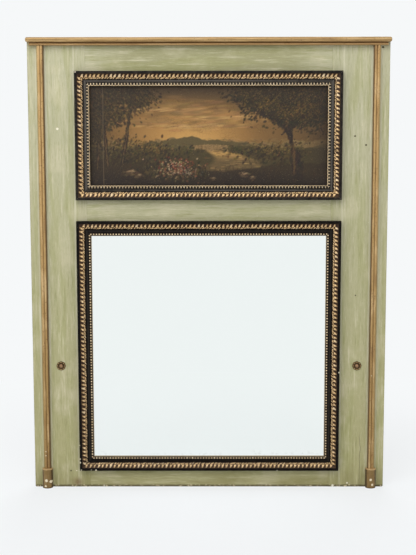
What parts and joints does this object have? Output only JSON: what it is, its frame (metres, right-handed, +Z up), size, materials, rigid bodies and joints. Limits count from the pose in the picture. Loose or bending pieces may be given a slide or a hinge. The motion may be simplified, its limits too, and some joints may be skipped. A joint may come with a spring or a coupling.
{
  "type": "trumeau mirror",
  "caption": "Tall painted overmantel panel with a framed landscape canvas above a large framed mirror plate, gilt side rods and a gilt top moulding; hangs on a wall.",
  "frame": {"origin": "middle of the panel's bottom edge, half way through the thickness of the boards", "axes": "+X to the viewer's right, +Y from the front towards the wall, +Z up"},
  "size_m": [1.104, 0.058, 1.4],
  "materials": {
    "sage_paint": "brushed sage-green distemper, worn, with bare pine behind",
    "oak_pegs": "bare oak",
    "gilt_wood": "aged bronze-gold on gesso",
    "ebonised_wood": "ebonised, waxed satin",
    "gilt_ornament": "carved and gilt, rubbed to red-brown in the hollows",
    "rosette_brass": "dark lacquered brass",
    "painted_canvas": "oil paint on primed linen, old varnish",
    "stretcher_pine": "bare pine, darkened with age",
    "mirror_plate": "silvered plate",
    "backing_pine": "rough-sawn pine",
    "forged_iron": "dark oxidised iron"
  },
  "bodies": {
    "root": {"left_stile": "sage_paint", "right_stile": "sage_paint", "top_rail": "sage_paint", "middle_rail": "sage_paint", "bottom_rail": "sage_paint", "joint_pegs": "oak_pegs", "top_moulding": "gilt_wood", "left_rod": "gilt_wood", "right_rod": "gilt_wood", "left_plinth": "gilt_wood", "right_plinth": "gilt_wood", "painting_frame_top": "ebonised_wood", "painting_leaf_band_top": "gilt_ornament", "painting_beads_top": "gilt_ornament", "painting_frame_bottom": "ebonised_wood", "painting_leaf_band_bottom": "gilt_ornament", "painting_beads_bottom": "gilt_ornament", "painting_frame_left": "ebonised_wood", "painting_leaf_band_left": "gilt_ornament", "painting_beads_left": "gilt_ornament", "painting_frame_right": "ebonised_wood", "painting_leaf_band_right": "gilt_ornament", "painting_beads_right": "gilt_ornament", "mirror_frame_top": "ebonised_wood", "mirror_leaf_band_top": "gilt_ornament", "mirror_beads_top": "gilt_ornament", "mirror_frame_bottom": "ebonised_wood", "mirror_leaf_band_bottom": "gilt_ornament", "mirror_beads_bottom": "gilt_ornament", "mirror_frame_left": "ebonised_wood", "mirror_leaf_band_left": "gilt_ornament", "mirror_beads_left": "gilt_ornament", "mirror_frame_right": "ebonised_wood", "mirror_leaf_band_right": "gilt_ornament", "mirror_beads_right": "gilt_ornament", "left_rosette": "rosette_brass", "right_rosette": "rosette_brass", "left_rosette_nail": "rosette_brass", "right_rosette_nail": "rosette_brass", "canvas": "painted_canvas", "stretcher_top": "stretcher_pine", "stretcher_bottom": "stretcher_pine", "stretcher_left": "stretcher_pine", "stretcher_right": "stretcher_pine", "stretcher_crossbar": "stretcher_pine", "stretcher_keys": "stretcher_pine", "mirror_glass": "mirror_plate", "glass_blocks": "backing_pine", "back_board_lower": "backing_pine", "back_board_middle": "backing_pine", "back_board_upper": "backing_pine", "left_hanger": "forged_iron", "right_hanger": "forged_iron", "hanger_screws": "forged_iron", "frame_screws": "forged_iron", "moulding_nails": "forged_iron", "stretcher_stays": "forged_iron", "back_board_nails": "forged_iron", "canvas_tacks": "forged_iron"}
  },
  "joints": []
}
